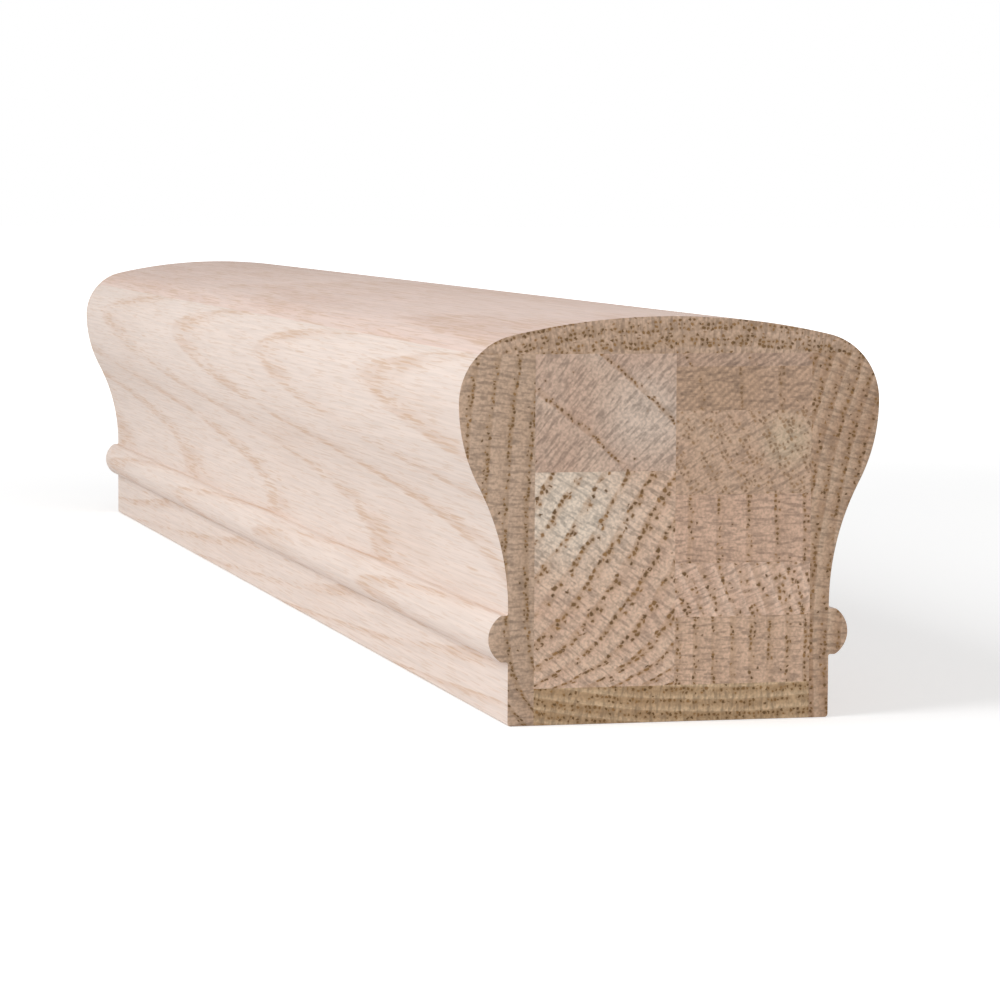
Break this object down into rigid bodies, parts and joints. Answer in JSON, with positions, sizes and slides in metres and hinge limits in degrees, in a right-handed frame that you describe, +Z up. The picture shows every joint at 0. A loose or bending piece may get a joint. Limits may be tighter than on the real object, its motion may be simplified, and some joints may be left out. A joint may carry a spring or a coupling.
{
  "type": "stair handrail",
  "caption": "Straight length of laminated oak stair handrail with a crowned grip, hollow sides, a bead low on each side and a flat underside.",
  "frame": {"origin": "middle of the flat underside", "axes": "+Z up to the crown of the grip, +Y along the rail's length, +X across its width"},
  "size_m": [0.0698, 0.4064, 0.065],
  "materials": {
    "facing_oak": "bare, machine moulded",
    "base_oak": "bare, machine moulded",
    "core_oak_pale": "bare, saw cut on the ends",
    "core_oak_pink": "bare, saw cut on the ends",
    "core_oak_brown": "bare, saw cut on the ends"
  },
  "bodies": {
    "root": {"top_facing": "facing_oak", "left_facing": "facing_oak", "right_facing": "facing_oak", "base_facing": "base_oak", "left_core_strip_1": "core_oak_pale", "left_core_strip_2": "core_oak_pink", "right_core_strip_1": "core_oak_pink", "right_core_strip_2": "core_oak_pale", "right_core_strip_3": "core_oak_pink", "right_core_strip_4": "core_oak_pink", "right_core_strip_5": "core_oak_brown", "right_core_strip_6": "core_oak_pale"}
  },
  "joints": []
}
